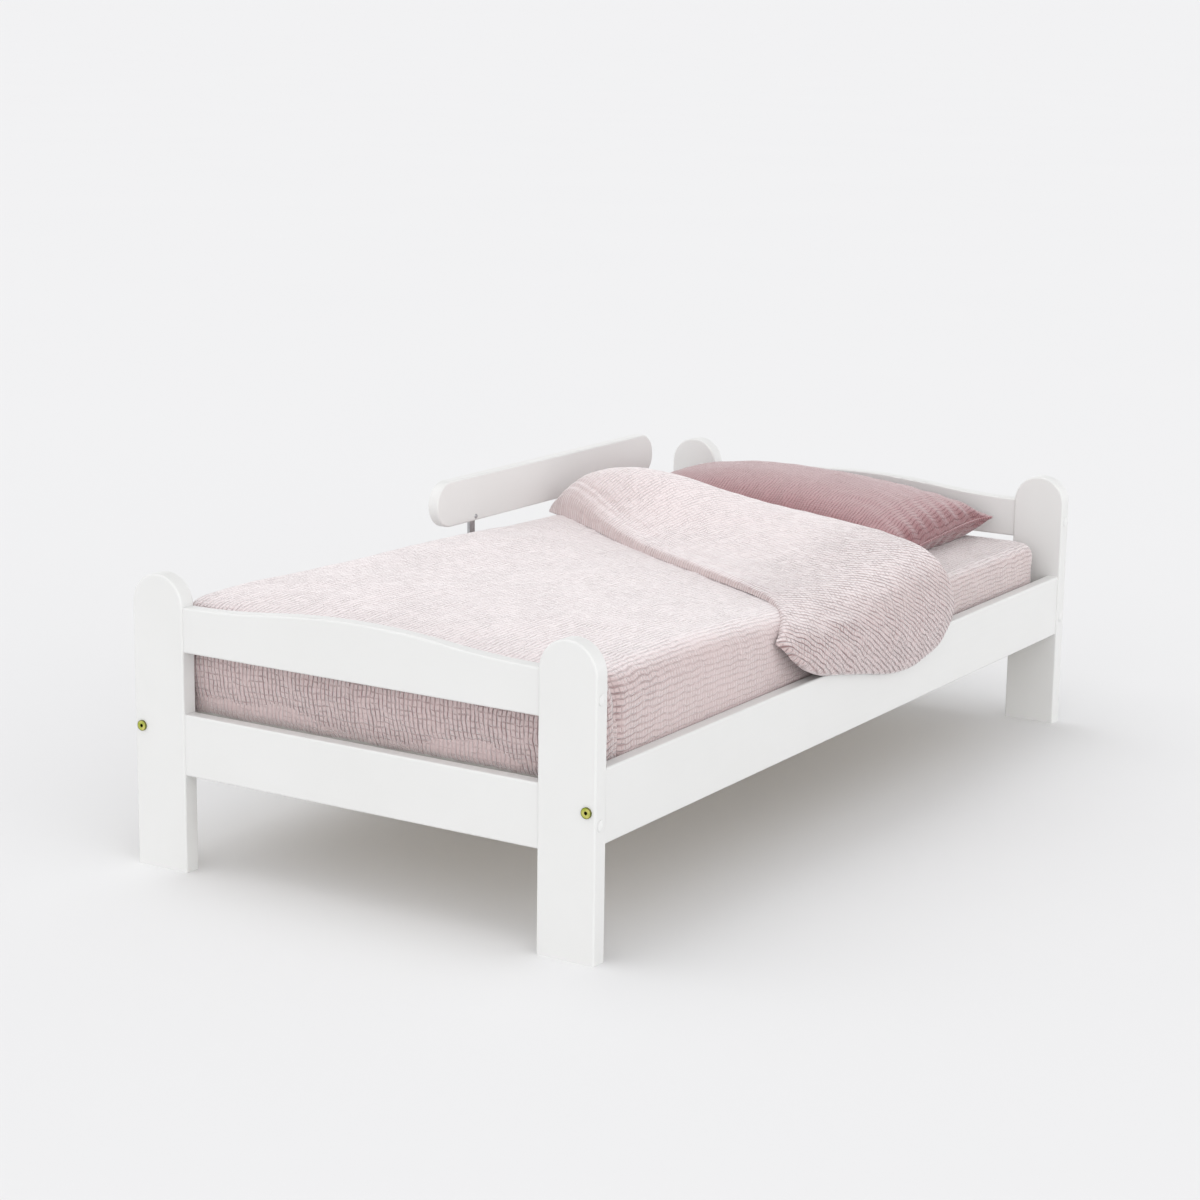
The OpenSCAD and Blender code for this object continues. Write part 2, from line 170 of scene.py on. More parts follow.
def paintMaterial(name, along):
    # satin paint over planed pine: the grain lies along one axis and just telegraphs through
    material, tree, shader = newMaterial(name)
    place = add(tree, "TexCoord").outputs["Object"]
    stretch = [60.0, 60.0, 60.0]
    stretch[along] = 3.0
    lengthwise = add(tree, "Mapping", {"Vector": place, "Scale": stretch}).outputs[0]
    grain = add(tree, "TexNoise", {"Vector": lengthwise, "Scale": 4.0, "Detail": 6.0,
                                   "Distortion": 0.6}).outputs[0]
    brush = add(tree, "TexNoise", {"Vector": lengthwise, "Scale": 22.0, "Detail": 2.0}).outputs[0]
    patch = add(tree, "TexNoise", {"Vector": place, "Scale": 7.0, "Detail": 3.0}).outputs[0]
    tone = ramp(tree, patch, [(0.3, whitePaint["shade"]), (0.7, whitePaint["colour"])])
    low, high = whitePaint["roughness"]
    gloss = add(tree, "MapRange", {"Value": grain, "From Min": 0.3, "From Max": 0.7,
                                   "To Min": low, "To Max": high}).outputs[0]
    bumpA = add(tree, "Bump", {"Height": grain, "Strength": 1.0, "Distance": whitePaint["grainDepth"]})
    bumpB = add(tree, "Bump", {"Height": brush, "Strength": 1.0, "Distance": whitePaint["brushDepth"],
                               "Normal": bumpA.outputs[0]})
    plug(tree, shader, colour=tone, roughness=gloss, normal=bumpB.outputs[0])
    shader.inputs["Coat Weight"].default_value = 0.12
    shader.inputs["Coat Roughness"].default_value = 0.3
    return material


def woodMaterial(name, along, pale, dark, roughness=0.6):
    # bare planed softwood: long grain bands with fine pores
    material, tree, shader = newMaterial(name)
    place = add(tree, "TexCoord").outputs["Object"]
    stretch = [22.0, 22.0, 22.0]
    stretch[along] = 1.6
    lengthwise = add(tree, "Mapping", {"Vector": place, "Scale": stretch}).outputs[0]
    sway = add(tree, "TexNoise", {"Vector": lengthwise, "Scale": 1.1, "Detail": 2.0}).outputs["Color"]
    bent = add(tree, "VectorMath", {0: lengthwise, 1: add(tree, "VectorMath", {0: sway, "Scale": 2.6},
                                                         operation="SCALE").outputs[0]},
               operation="ADD").outputs[0]
    rings = add(tree, "TexWave", {"Vector": bent, "Scale": 1.5, "Distortion": 1.6, "Detail": 2.0},
                bands_direction="DIAGONAL").outputs["Fac"]
    pores = add(tree, "TexNoise", {"Vector": lengthwise, "Scale": 26.0, "Detail": 3.0}).outputs[0]
    knotPlace = add(tree, "Mapping", {"Vector": place, "Scale": (9.0, 9.0, 3.0)}).outputs[0]
    knots = add(tree, "TexVoronoi", {"Vector": knotPlace, "Scale": 0.9}).outputs["Distance"]
    knotMask = add(tree, "MapRange", {"Value": knots, "From Min": 0.05, "From Max": 0.09,
                                      "To Min": 0.0, "To Max": 1.0}).outputs[0]
    mixed = maths(tree, "MULTIPLY_ADD", pores, 0.35, maths(tree, "MULTIPLY", rings, 0.65))
    between = tuple((a + b) / 2 for a, b in zip(pale, dark))
    tone = ramp(tree, mixed, [(0.2, pale), (0.62, between), (0.9, dark)])
    knotted = add(tree, "Mix", {"Factor": knotMask, 6: tuple(c * 0.45 for c in dark) + (1,), 7: tone},
                  data_type="RGBA").outputs[2]
    bump = add(tree, "Bump", {"Height": mixed, "Strength": 1.0, "Distance": 0.00012}).outputs[0]
    plug(tree, shader, colour=knotted, roughness=roughness, normal=bump)
    return material


def metalMaterial(name, colour, second, roughness, grain=160.0, bumpDepth=0.00002):
    material, tree, shader = newMaterial(name)
    place = add(tree, "TexCoord").outputs["Object"]
    cloud = add(tree, "TexNoise", {"Vector": place, "Scale": grain, "Detail": 3.0}).outputs[0]
    tone = ramp(tree, cloud, [(0.35, colour), (0.65, second)])
    gloss = add(tree, "MapRange", {"Value": cloud, "From Min": 0.3, "From Max": 0.7,
                                   "To Min": roughness, "To Max": roughness + 0.14}).outputs[0]
    scratch = add(tree, "TexNoise", {"Vector": place, "Scale": grain * 9, "Detail": 2.0}).outputs[0]
    bump = add(tree, "Bump", {"Height": scratch, "Strength": 1.0, "Distance": bumpDepth}).outputs[0]
    plug(tree, shader, colour=tone, roughness=gloss, normal=bump)
    shader.inputs["Metallic"].default_value = 1.0
    return material


# yellow bolts: the flange and the hollow its key goes into
flange = {"radius": 0.0075, "hollow": 0.0023}


def addBoltHollow(material):
    # painted shade: the hollow in each flange and a ring round its rim are darkened in the colour, where
    # shade falls
    tree, shader = material.node_tree, material.node_tree.nodes["Principled BSDF"]
    place = add(tree, "SeparateXYZ", {0: add(tree, "TexCoord").outputs["Object"]})
    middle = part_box("side_rail_bolts")
    boltX = middle[1].x - flange["radius"]
    aside = maths(tree, "SUBTRACT", maths(tree, "ABSOLUTE", place.outputs["X"]), boltX)
    above = maths(tree, "SUBTRACT", place.outputs["Z"], (middle[0].z + middle[1].z) / 2)
    away = maths(tree, "SQRT", maths(tree, "ADD", maths(tree, "MULTIPLY", aside, aside),
                                     maths(tree, "MULTIPLY", above, above)))
    inner, outer = flange["hollow"], flange["radius"]
    hollow = add(tree, "MapRange", {"Value": away, "From Min": inner, "From Max": inner + 0.0004,
                                    "To Min": 0.06, "To Max": 1.0}).outputs[0]
    rim = add(tree, "MapRange", {"Value": away, "From Min": outer - 0.0014, "From Max": outer - 0.0004,
                                 "To Min": 1.0, "To Max": 0.35}).outputs[0]
    dark = maths(tree, "MULTIPLY", hollow, rim)
    tone = shader.inputs["Base Color"].links[0].from_socket
    boltShadeTone = add(tree, "VectorMath", {0: tone, "Scale": dark}, operation="SCALE").outputs[0]
    tree.links.new(boltShadeTone, shader.inputs["Base Color"])


def plasticMaterial(name, colour, roughness=0.35):
    material, tree, shader = newMaterial(name)
    place = add(tree, "TexCoord").outputs["Object"]
    cloud = add(tree, "TexNoise", {"Vector": place, "Scale": 90.0, "Detail": 2.0}).outputs[0]
    fine = add(tree, "TexNoise", {"Vector": place, "Scale": 2200.0, "Detail": 1.0}).outputs[0]
    tone = ramp(tree, cloud, [(0.3, tuple(0.97 * c for c in colour)), (0.7, colour)])
    gloss = add(tree, "MapRange", {"Value": cloud, "To Min": roughness,
                                   "To Max": roughness + 0.12}).outputs[0]
    bump = add(tree, "Bump", {"Height": fine, "Strength": 1.0, "Distance": 0.00002}).outputs[0]
    plug(tree, shader, colour=tone, roughness=gloss, normal=bump)
    return material


# gauze colours: "puff" is the cloth's own colour; "crease" is painted shade in the dips between puffs;
# "aside" is painted shade multiplied into the colour down the sides
paleGauze = {
    "puff": (0.815, 0.718, 0.720),
    "crease": (0.33, 0.175, 0.175),
    "aside": (0.70, 0.63, 0.62),
    "cell": (0.0070, 0.0068),
    "depth": 0.0030,
    "sheen": 0.9,
}
# painted shade: the sheet's gauze is a deeper copy of the duvet's gauze, standing in for the sheet lying in
# shade, with less painted shade down its sides
shadedSheetGauze = dict(paleGauze, puff=(0.645, 0.555, 0.550), aside=(0.90, 0.84, 0.83))
mauveGauze = {
    "puff": (0.455, 0.272, 0.282),
    "crease": (0.27, 0.125, 0.135),
    "aside": (0.60, 0.445, 0.46),
    "cell": (0.0052, 0.0044),
    "depth": 0.0009,
    "sheen": 0.55,
}


def gauzeMaterial(name, look):
    # double gauze: two loose layers tacked together in a small grid, so the cloth puckers into rows of
    # puffs; "cloth" is the place of a point in the flat cloth, "relief" how strongly it puckers there and how
    # dark the painted crease shade is
    material, tree, shader = newMaterial(name)
    flat = add(tree, "Attribute", attribute_name="cloth").outputs["Vector"]
    relief = add(tree, "Attribute", attribute_name="relief").outputs["Fac"]
    wander = add(tree, "TexNoise", {"Vector": flat, "Scale": 40.0, "Detail": 2.0}).outputs["Color"]
    wander = add(tree, "VectorMath", {0: wander, 1: (0.5, 0.5, 0.5)}, operation="SUBTRACT").outputs[0]
    wander = add(tree, "VectorMath", {0: wander, "Scale": 0.008}, operation="SCALE").outputs[0]
    bent = add(tree, "VectorMath", {0: flat, 1: wander}, operation="ADD").outputs[0]
    wide, tall = look["cell"]
    cells = add(tree, "Mapping", {"Vector": bent, "Scale": (1 / wide, 1 / tall, 1.0)}).outputs[0]
    cellPlace = add(tree, "SeparateXYZ", {0: cells})
    # distance to the nearest tacked column and row, 0 to 0.5
    fromColumn = maths(tree, "PINGPONG", cellPlace.outputs["X"], 0.5)
    fromRow = maths(tree, "PINGPONG", cellPlace.outputs["Y"], 0.5)
    # columns and rows break up into dashes
    breaks = add(tree, "TexNoise", {"Vector": cells, "Scale": 0.55, "Detail": 2.0},
                 noise_dimensions="2D").outputs["Color"]
    dashes = add(tree, "SeparateXYZ", {0: breaks})
    column = add(tree, "MapRange", {"Value": fromColumn, "From Min": 0.02, "From Max": 0.26},
                 interpolation_type="SMOOTHSTEP").outputs[0]
    row = add(tree, "MapRange", {"Value": fromRow, "From Min": 0.0, "From Max": 0.24},
              interpolation_type="SMOOTHSTEP").outputs[0]
    columnPull = add(tree, "MapRange", {"Value": dashes.outputs["X"], "From Min": 0.34, "From Max": 0.58,
                                        "To Min": 0.50, "To Max": 1.0}).outputs[0]
    rowPull = add(tree, "MapRange", {"Value": dashes.outputs["Y"], "From Min": 0.38, "From Max": 0.62,
                                     "To Min": 0.18, "To Max": 0.62}).outputs[0]
    columnDip = maths(tree, "MULTIPLY", maths(tree, "SUBTRACT", 1.0, column), columnPull)
    rowDip = maths(tree, "MULTIPLY", maths(tree, "SUBTRACT", 1.0, row), rowPull)
    dip = maths(tree, "MAXIMUM", columnDip, rowDip)
    # longer creases run lengthwise through the grid
    streaks = add(tree, "Mapping", {"Vector": bent, "Scale": (190.0, 30.0, 1.0)}).outputs[0]
    streak = add(tree, "TexNoise", {"Vector": streaks, "Scale": 1.0, "Detail": 3.0, "Roughness": 0.6},
                 noise_dimensions="2D").outputs[0]
    patch = add(tree, "TexNoise", {"Vector": flat, "Scale": 11.0, "Detail": 3.0}).outputs[0]
    calm = add(tree, "MapRange", {"Value": patch, "From Min": 0.35, "From Max": 0.65,
                                  "To Min": 0.70, "To Max": 1.0}).outputs[0]
    strong = maths(tree, "MULTIPLY", calm, relief)
    threads = add(tree, "TexNoise", {"Vector": flat, "Scale": 1400.0, "Detail": 2.0}).outputs[0]
    height = maths(tree, "MULTIPLY_ADD", streak, 0.9, maths(tree, "SUBTRACT", 1.0, dip))
    height = maths(tree, "MULTIPLY", height, strong)
    # painted shade: the colour darkens from the puff colour to the crease colour in the dips between puffs,
    # where shade falls
    paintedCreaseShade = maths(tree, "MULTIPLY", dip, maths(tree, "MULTIPLY", relief, relief))
    tone = add(tree, "Mix", {"Factor": paintedCreaseShade, 6: (*look["puff"], 1), 7: (*look["crease"], 1)},
               data_type="RGBA").outputs[2]
    # painted shade: the colour is multiplied by the "aside" colour where the surface faces sideways, so the
    # sides look shaded against the top, which faces the light
    upward = add(tree, "SeparateXYZ", {0: add(tree, "NewGeometry").outputs["Normal"]}).outputs["Z"]
    upward = add(tree, "MapRange", {"Value": upward, "From Min": 0.45, "From Max": 1.0},
                 interpolation_type="SMOOTHSTEP").outputs[0]
    depth = add(tree, "Mix", {"Factor": upward, 6: (*look["aside"], 1), 7: (1.0, 1.0, 1.0, 1.0)},
                data_type="RGBA").outputs[2]
    tone = add(tree, "Mix", {"Factor": 1.0, 6: tone, 7: depth}, data_type="RGBA",
               blend_type="MULTIPLY").outputs[2]
    bumpA = add(tree, "Bump", {"Height": height, "Strength": 1.0, "Distance": look["depth"]})
    bumpB = add(tree, "Bump", {"Height": threads, "Strength": 0.6, "Distance": 0.00015,
                               "Normal": bumpA.outputs[0]})
    plug(tree, shader, colour=tone, roughness=0.85, normal=bumpB.outputs[0])
    shader.inputs["Specular IOR Level"].default_value = 0.2
    shader.inputs["Sheen Weight"].default_value = look["sheen"]
    shader.inputs["Sheen Roughness"].default_value = 0.5
    return material


def tickingMaterial(name):
    # plain woven mattress cover with a fine twill
    material, tree, shader = newMaterial(name)
    flat = add(tree, "Attribute", attribute_name="cloth").outputs["Vector"]
    twill = add(tree, "TexWave", {"Vector": flat, "Scale": 260.0, "Distortion": 0.6, "Detail": 1.0},
                bands_direction="DIAGONAL").outputs["Fac"]
    cloud = add(tree, "TexNoise", {"Vector": flat, "Scale": 14.0, "Detail": 3.0}).outputs[0]
    mixed = maths(tree, "MULTIPLY_ADD", twill, 0.4, maths(tree, "MULTIPLY", cloud, 0.6))
    tone = ramp(tree, mixed, [(0.25, (0.62, 0.60, 0.56)), (0.7, (0.80, 0.79, 0.76))])
    bump = add(tree, "Bump", {"Height": twill, "Strength": 1.0, "Distance": 0.0002}).outputs[0]
    plug(tree, shader, colour=tone, roughness=0.85, normal=bump)
    shader.inputs["Sheen Weight"].default_value = 0.3
    return material


def tapeMaterial(name):
    material, tree, shader = newMaterial(name)
    place = add(tree, "TexCoord").outputs["Object"]
    weave = add(tree, "TexWave", {"Vector": place, "Scale": 420.0, "Distortion": 0.3},
                bands_direction="Y").outputs["Fac"]
    tone = ramp(tree, weave, [(0.2, (0.62, 0.62, 0.60)), (0.8, (0.82, 0.82, 0.80))])
    bump = add(tree, "Bump", {"Height": weave, "Strength": 1.0, "Distance": 0.0003}).outputs[0]
    plug(tree, shader, colour=tone, roughness=0.8, normal=bump)
    return material


paint = [paintMaterial("whitePaintAcross", 0), paintMaterial("whitePaintLengthwise", 1),
         paintMaterial("whitePaintUpright", 2)]
pineAcross = woodMaterial("barePineAcross", 0, (0.83, 0.74, 0.60), (0.68, 0.55, 0.40))
pineAlong = woodMaterial("barePineLengthwise", 1, (0.83, 0.74, 0.60), (0.68, 0.55, 0.40))
beech = woodMaterial("beechDowel", 0, (0.62, 0.42, 0.26), (0.48, 0.30, 0.17))
yellowZinc = metalMaterial("yellowZinc", (0.40, 0.47, 0.07), (0.66, 0.62, 0.20), 0.28)
addBoltHollow(yellowZinc)
brightSteel = metalMaterial("brightSteel", (0.60, 0.60, 0.61), (0.50, 0.50, 0.51), 0.3)
guardSteel = metalMaterial("satinSteel", (0.46, 0.46, 0.47), (0.38, 0.38, 0.39), 0.36)
capPlastic = plasticMaterial("whitePlastic", (0.725, 0.725, 0.715))
tapeWeave = tapeMaterial("slatTape")
palePink = gauzeMaterial("palePinkGauze", paleGauze)
shadedSheetPink = gauzeMaterial("shadedSheetGauze", shadedSheetGauze)
mauve = gauzeMaterial("mauveGauze", mauveGauze)
ticking = tickingMaterial("mattressTicking")
print("materials made")


def dress(names, material):
    for name in names:
        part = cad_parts[name]
        part.data.materials.clear()
        part.data.materials.append(material)


allNames = list(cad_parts)
dress([n for n in allNames if n.startswith("post_")], paint[2])
dress([n for n in allNames if n.startswith(("foot_rail", "head_rail"))], paint[0])
dress(["side_rail_left", "side_rail_right", "guard_board"], paint[1])
dress(["ledger_left", "ledger_right"], pineAlong)
dress(["slat_" + str(i) for i in range(1, 13)], pineAcross)
dress(["slat_tape_left", "slat_tape_right"], tapeWeave)
dress(["side_rail_bolts"], yellowZinc)
dress(["side_rail_nuts", "end_rail_bolts", "end_rail_nuts", "ledger_screws", "slat_screws", "tape_staples"],
      brightSteel)
dress(["guard_bar_foot", "guard_bar_head", "guard_bolts", "guard_nuts"], guardSteel)
dress(["side_rail_dowels", "end_rail_dowels"], beech)
dress(["bolt_caps"], capPlastic)


# closed soft shells, built as grids so that every point knows its place in the flat cloth

def gridFaces(rows, columns, start=0, flip=False):
    index = start + np.arange(rows * columns).reshape(rows, columns)
    quads = np.stack([index[:-1, :-1], index[1:, :-1], index[1:, 1:], index[:-1, 1:]], -1).reshape(-1, 4)
    return quads[:, ::-1] if flip else quads


def rimOf(rows, columns, start=0):
    index = start + np.arange(rows * columns).reshape(rows, columns)
    return np.concatenate([index[0, :-1], index[:-1, -1], index[-1, :0:-1], index[:0:-1, 0]])


def setRelief(piece, strengths):
    # how strongly the gauze puckers at every point
    layer = piece.data.attributes.get("relief") or piece.data.attributes.new("relief", "FLOAT", "POINT")
    layer.data.foreach_set("value", np.asarray(strengths, np.float32).ravel())


def meshPiece(name, places, faces, clothPlaces, material):
    mesh = bpy.data.meshes.new(name)
    mesh.from_pydata(places.tolist(), [], faces.tolist())
    layer = mesh.attributes.new("cloth", "FLOAT_VECTOR", "POINT")
    layer.data.foreach_set("vector", clothPlaces.astype(np.float32).ravel())
    mesh.polygons.foreach_set("use_smooth", np.ones(len(faces), bool))
    mesh.materials.append(material)
    mesh.update()
    piece = bpy.data.objects.new(name, mesh)
    scene.collection.objects.link(piece)
    setRelief(piece, np.ones(len(places)))
    return piece


def closedShell(name, outer, inner, cloth, material):
    # two grids of the same size, face to face, joined round their rim
    rows, columns = outer.shape[:2]
    count = rows * columns
    rim = rimOf(rows, columns)
    following = np.roll(rim, -1)
    side = np.stack([rim, rim + count, following + count, following], -1)
    faces = np.concatenate([gridFaces(rows, columns), gridFaces(rows, columns, count, True), side[:, ::-1]])
    places = np.concatenate([outer.reshape(-1, 3), inner.reshape(-1, 3)])
    clothPlaces = np.concatenate([cloth.reshape(-1, 3)] * 2)
    piece = meshPiece(name, places, faces, clothPlaces, material)
    fixNormals(piece)
    return piece


def fixNormals(piece):
    bpy.ops.object.select_all(action="DESELECT")
    bpy.context.view_layer.objects.active = piece
    piece.select_set(True)
    bpy.ops.object.mode_set(mode="EDIT")
    bpy.ops.mesh.select_all(action="SELECT")
    bpy.ops.mesh.normals_make_consistent(inside=False)
    bpy.ops.object.mode_set(mode="OBJECT")


def coordinates(piece):
    found = np.empty(len(piece.data.vertices) * 3)
    piece.data.vertices.foreach_get("co", found)
    return found.reshape(-1, 3)


def setCoordinates(piece, places):
    piece.data.vertices.foreach_set("co", places.astype(np.float32).ravel())
    piece.data.update()


def normalsOf(piece):
    found = np.empty(len(piece.data.vertices) * 3)
    piece.data.vertices.foreach_get("normal", found)
    return found.reshape(-1, 3)


def refine(piece):
    # one level of subdivision, applied
    piece.modifiers.new("smoother", "SUBSURF").levels = 1
    bpy.context.view_layer.objects.active = piece
    bpy.ops.object.modifier_apply(modifier="smoother")


def puffUp(piece, pressure, frames, mostMove, shrink, bend):
    # cloth simulation with air inside and no gravity; no point moves further than mostMove
    before = coordinates(piece)
    cloth = piece.modifiers.new("cloth", "CLOTH")
    settings = cloth.settings
    settings.quality = 6
    settings.mass = 0.3
    settings.tension_stiffness = 15
    settings.compression_stiffness = 15
    settings.shear_stiffness = 5
    settings.bending_stiffness = bend
    settings.use_pressure = True
    settings.uniform_pressure_force = pressure
    settings.shrink_min = shrink
    settings.effector_weights.gravity = 0
    cloth.point_cache.frame_start = 1
    cloth.point_cache.frame_end = frames
    for step in range(1, frames + 1):
        scene.frame_set(step)
    moved = piece.evaluated_get(bpy.context.evaluated_depsgraph_get())
    after = np.empty(len(moved.data.vertices) * 3)
    moved.data.vertices.foreach_get("co", after)
    shift = after.reshape(-1, 3) - before
    far = np.linalg.norm(shift, axis=1)
    shift *= (np.minimum(far, mostMove) / np.maximum(far, 1e-9))[:, None]
    piece.modifiers.remove(cloth)
    scene.frame_set(1)
    setCoordinates(piece, before + shift)
    print(piece.name, "puffed: moved up to %.1f mm" % (1000 * min(far.max(), mostMove)))


# cloth over a box with rounded corners: walks out from the middle, over the edge and down the side

def overBox(plan, halfW, footY, headY, cornerR, edgeR, deep, curlR=0.0):
    # plan: places in the flat cloth; returns reach out, drop down, outward direction and distance walked
    innerX = halfW - cornerR
    base = np.stack([np.clip(plan[..., 0], -innerX, innerX),
                     np.clip(plan[..., 1], footY + cornerR, headY - cornerR)], -1)
    away = plan - base
    walked = np.linalg.norm(away, axis=-1)
    outward = away / np.maximum(walked, 1e-9)[..., None]
    level = cornerR - edgeR
    bendEnd = level + edgeR * math.pi / 2
    angle = np.clip((walked - level) / edgeR, 0, math.pi / 2)
    reach = np.minimum(walked, level) + edgeR * np.sin(angle)
    drop = edgeR * (1 - np.cos(angle)) + np.clip(walked - bendEnd, 0, deep)
    if curlR > 0:
        curl = np.clip((walked - bendEnd - deep) / curlR, 0, 1.9)
        reach = reach - curlR * (1 - np.cos(curl))
        drop = drop + curlR * np.sin(curl)
    return base + outward * reach[..., None], drop, outward, walked


def roundCorners(plan, innerX, lowY, highY):
    # pulls the corners of a rectangular grid in to quarter circles
    base = np.stack([np.clip(plan[..., 0], -innerX, innerX), np.clip(plan[..., 1], lowY, highY)], -1)
    away = plan - base
    longest = np.abs(away).max(-1)
    length = np.linalg.norm(away, axis=-1)
    return base + away * (longest / np.maximum(length, 1e-9))[..., None]


# mattress

mattressForm = {"step": 0.012, "cornerR": 0.045, "edgeR": 0.012, "quilt": 0.0012}


def closedPad(name, halfW, halfL, lowZ, highZ, form, material):
    # a foam pad in its cover: two rounded faces meeting at the middle of its sides
    middle = (lowZ + highZ) / 2
    deep = (highZ - lowZ) / 2 - form["edgeR"]
    skirt = form["edgeR"] * math.pi / 2 + deep - form["edgeR"]
    xs = np.linspace(-halfW - skirt, halfW + skirt, int(2 * (halfW + skirt) / form["step"]))
    ys = np.linspace(-halfL - skirt, halfL + skirt, int(2 * (halfL + skirt) / form["step"]))
    plan = np.stack(np.meshgrid(xs, ys, indexing="ij"), -1)
    plan = roundCorners(plan, halfW - form["cornerR"], -halfL + form["cornerR"], halfL - form["cornerR"])
    flat, drop, outward, walked = overBox(plan, halfW, -halfL, halfL, form["cornerR"], form["edgeR"], deep)
    inside = smooth((form["cornerR"] - walked) / form["cornerR"])
    # shallow quilting in squares of 120 mm
    squares = np.abs(np.sin(math.pi * plan / 0.12).prod(-1))
    quilt = form["quilt"] * (squares - 1) * inside
    top = np.concatenate([flat, (highZ - drop + quilt)[..., None]], -1)
    bottom = np.concatenate([flat, (lowZ + drop - quilt)[..., None]], -1)
    top[..., 2] = np.maximum(top[..., 2], middle + 0.0004)
    bottom[..., 2] = np.minimum(bottom[..., 2], middle - 0.0004)
    cloth = np.concatenate([plan, np.zeros(plan.shape[:2] + (1,))], -1)
    return closedShell(name, top, bottom, cloth, material)


mattressPad = closedPad("mattress_pad", mattressHalfW, mattressHalfL, mattressBox[0].z, mattressTopZ,
                        mattressForm, ticking)
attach(mattressPad, "mattress")
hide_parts("mattress")
print("mattress made")


# fitted sheet, pulled over the mattress and tucked at its elastic hem

fittedSheet = {"step": 0.009, "clearance": 0.0012, "cornerR": 0.046, "edgeR": 0.016, "deep": 0.062,
               "curlR": 0.016, "gather": 0.0035, "pucker": 0.0007}


def makeSheet(form):
    gap = form["clearance"]
    halfW = mattressHalfW + gap + 0.0008
    halfL = mattressHalfL + gap + 0.0008
    topZ = mattressTopZ + gap
    walk = form["edgeR"] * math.pi / 2 + form["deep"] + form["curlR"] * 1.5 - form["edgeR"]
    xs = np.linspace(-halfW - walk, halfW + walk, int(2 * (halfW + walk) / form["step"]))
    ys = np.linspace(-halfL - walk, halfL + walk, int(2 * (halfL + walk) / form["step"]))
    plan = np.stack(np.meshgrid(xs, ys, indexing="ij"), -1)
    plan = roundCorners(plan, halfW - form["cornerR"], -halfL + form["cornerR"], halfL - form["cornerR"])
    flat, drop, outward, walked = overBox(plan, halfW, -halfL, halfL, form["cornerR"], form["edgeR"],
                                          form["deep"], form["curlR"])
    turned = np.arctan2(np.abs(outward[..., 1]), np.abs(outward[..., 0]))
    atCorner = smooth(1 - np.abs(turned - math.pi / 4) / (math.pi / 4)) * (walked > form["cornerR"] * 0.4)
    down = smooth((walked - form["cornerR"] * 0.7) / 0.05)
    gathers = form["gather"] * atCorner * down * np.sin(turned * 34 + 3 * np.sin(drop * 60))
    flat = flat + outward * (gathers - np.abs(gathers) * 0.4)[..., None]
    places = np.concatenate([flat, (topZ - drop)[..., None]], -1).reshape(-1, 3)
    cloth = np.concatenate([plan, np.zeros(plan.shape[:2] + (1,))], -1).reshape(-1, 3)
    piece = meshPiece("fitted_sheet_cover", places, gridFaces(*plan.shape[:2]), cloth, shadedSheetPink)
    fixNormals(piece)
    refine(piece)
    normals = normalsOf(piece)
    spots = coordinates(piece)
    ripple = noiseAt(spots * np.array([1, 0.35, 1]), 0.011) * form["pucker"]
    ripple += noiseAt(spots * np.array([1, 0.5, 1]), 0.05, 4.0) * form["pucker"]
    setCoordinates(piece, spots + normals * (ripple + form["pucker"])[:, None])
    thick = piece.modifiers.new("thickness", "SOLIDIFY")
    thick.thickness = 0.0009
    thick.offset = 1
    bpy.context.view_layer.objects.active = piece
    bpy.ops.object.modifier_apply(modifier="thickness")
    return piece


sheetCover = makeSheet(fittedSheet)
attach(sheetCover, "mattress")
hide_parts("fitted_sheet")
print("fitted sheet made")


# duvet: the part that lies flat and is tucked in, then the turned-back top

duvetForm = {
    "step": 0.008,
    "halfW": 0.3540,
    "footY": duvetBox[0].y,
    "headY": 0.300,
    "cornerR": 0.056,
    "edgeR": 0.040,
    "sideZ": 0.236,
    "curlR": 0.012,
    "under": mattressTopZ + 0.0042,
    # height of the filled top along the bed, foot to head
    "topLine": [(-0.72, 0.356), (-0.66, 0.364), (-0.58, 0.368), (-0.45, 0.367), (-0.32, 0.361),
                (-0.20, 0.354), (-0.07, 0.348), (0.10, 0.343), (0.33, 0.340)],
    "crown": 0.005,
    # the filling lies a little higher along the left side
    "leftLine": [(-0.72, 0.008), (-0.66, 0.012), (-0.56, 0.009), (-0.446, 0.008), (-0.33, 0.011),
                 (-0.20, 0.016), (-0.10, 0.018), (0.0, 0.018), (0.10, 0.015), (0.33, 0.014)],
    # bottom of the tucked foot end, left to right
    "footHem": [(-0.36, 0.238), (-0.15, 0.236), (0.0, 0.235), (0.15, 0.233), (0.36, 0.232)],
    # vertical fold at the foot of the right side: where, how wide, how deep
    "fold": (-0.652, 0.007, 0.010),
}


def duvetTopZ(x, y):
    form = duvetForm
    across = 1 - (x / form["halfW"]) ** 2
    left = smooth((-x - 0.05) / 0.28)
    return follow(form["topLine"], y) + form["crown"] * across + follow(form["leftLine"], y) * left


